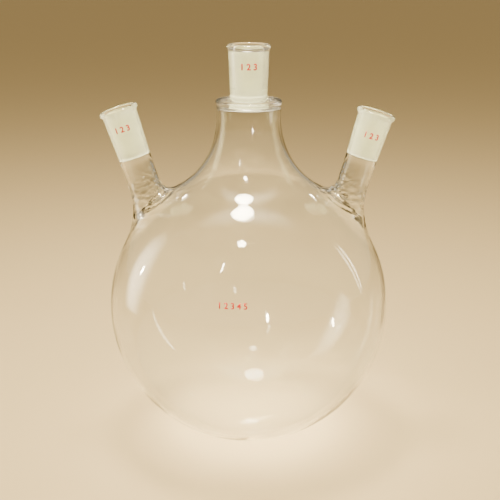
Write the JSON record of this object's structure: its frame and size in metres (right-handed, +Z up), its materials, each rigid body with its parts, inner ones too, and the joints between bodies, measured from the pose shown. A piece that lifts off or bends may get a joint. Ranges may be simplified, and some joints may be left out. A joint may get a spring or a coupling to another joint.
{
  "type": "three neck round bottom flask",
  "caption": "Blown glass round bottom flask with a wide beaded centre neck, a centre ground socket and two leaning side necks with ground sockets.",
  "frame": {"origin": "lowest point of the round bottom, on the centre neck's axis", "axes": "+Z up along the centre neck; the two side necks lean outwards along +X and -X"},
  "size_m": [0.2283, 0.223, 0.3186],
  "materials": {
    "clear_glass": "clear, fire-polished blown borosilicate glass, with faint ripples where the side necks are sealed on",
    "ground_glass": "fine ground, frosted white inside face of the tapered sockets",
    "red_enamel": "thin fired red enamel of the plain size numbers"
  },
  "bodies": {
    "root": {"flask": "clear_glass"}
  },
  "joints": []
}
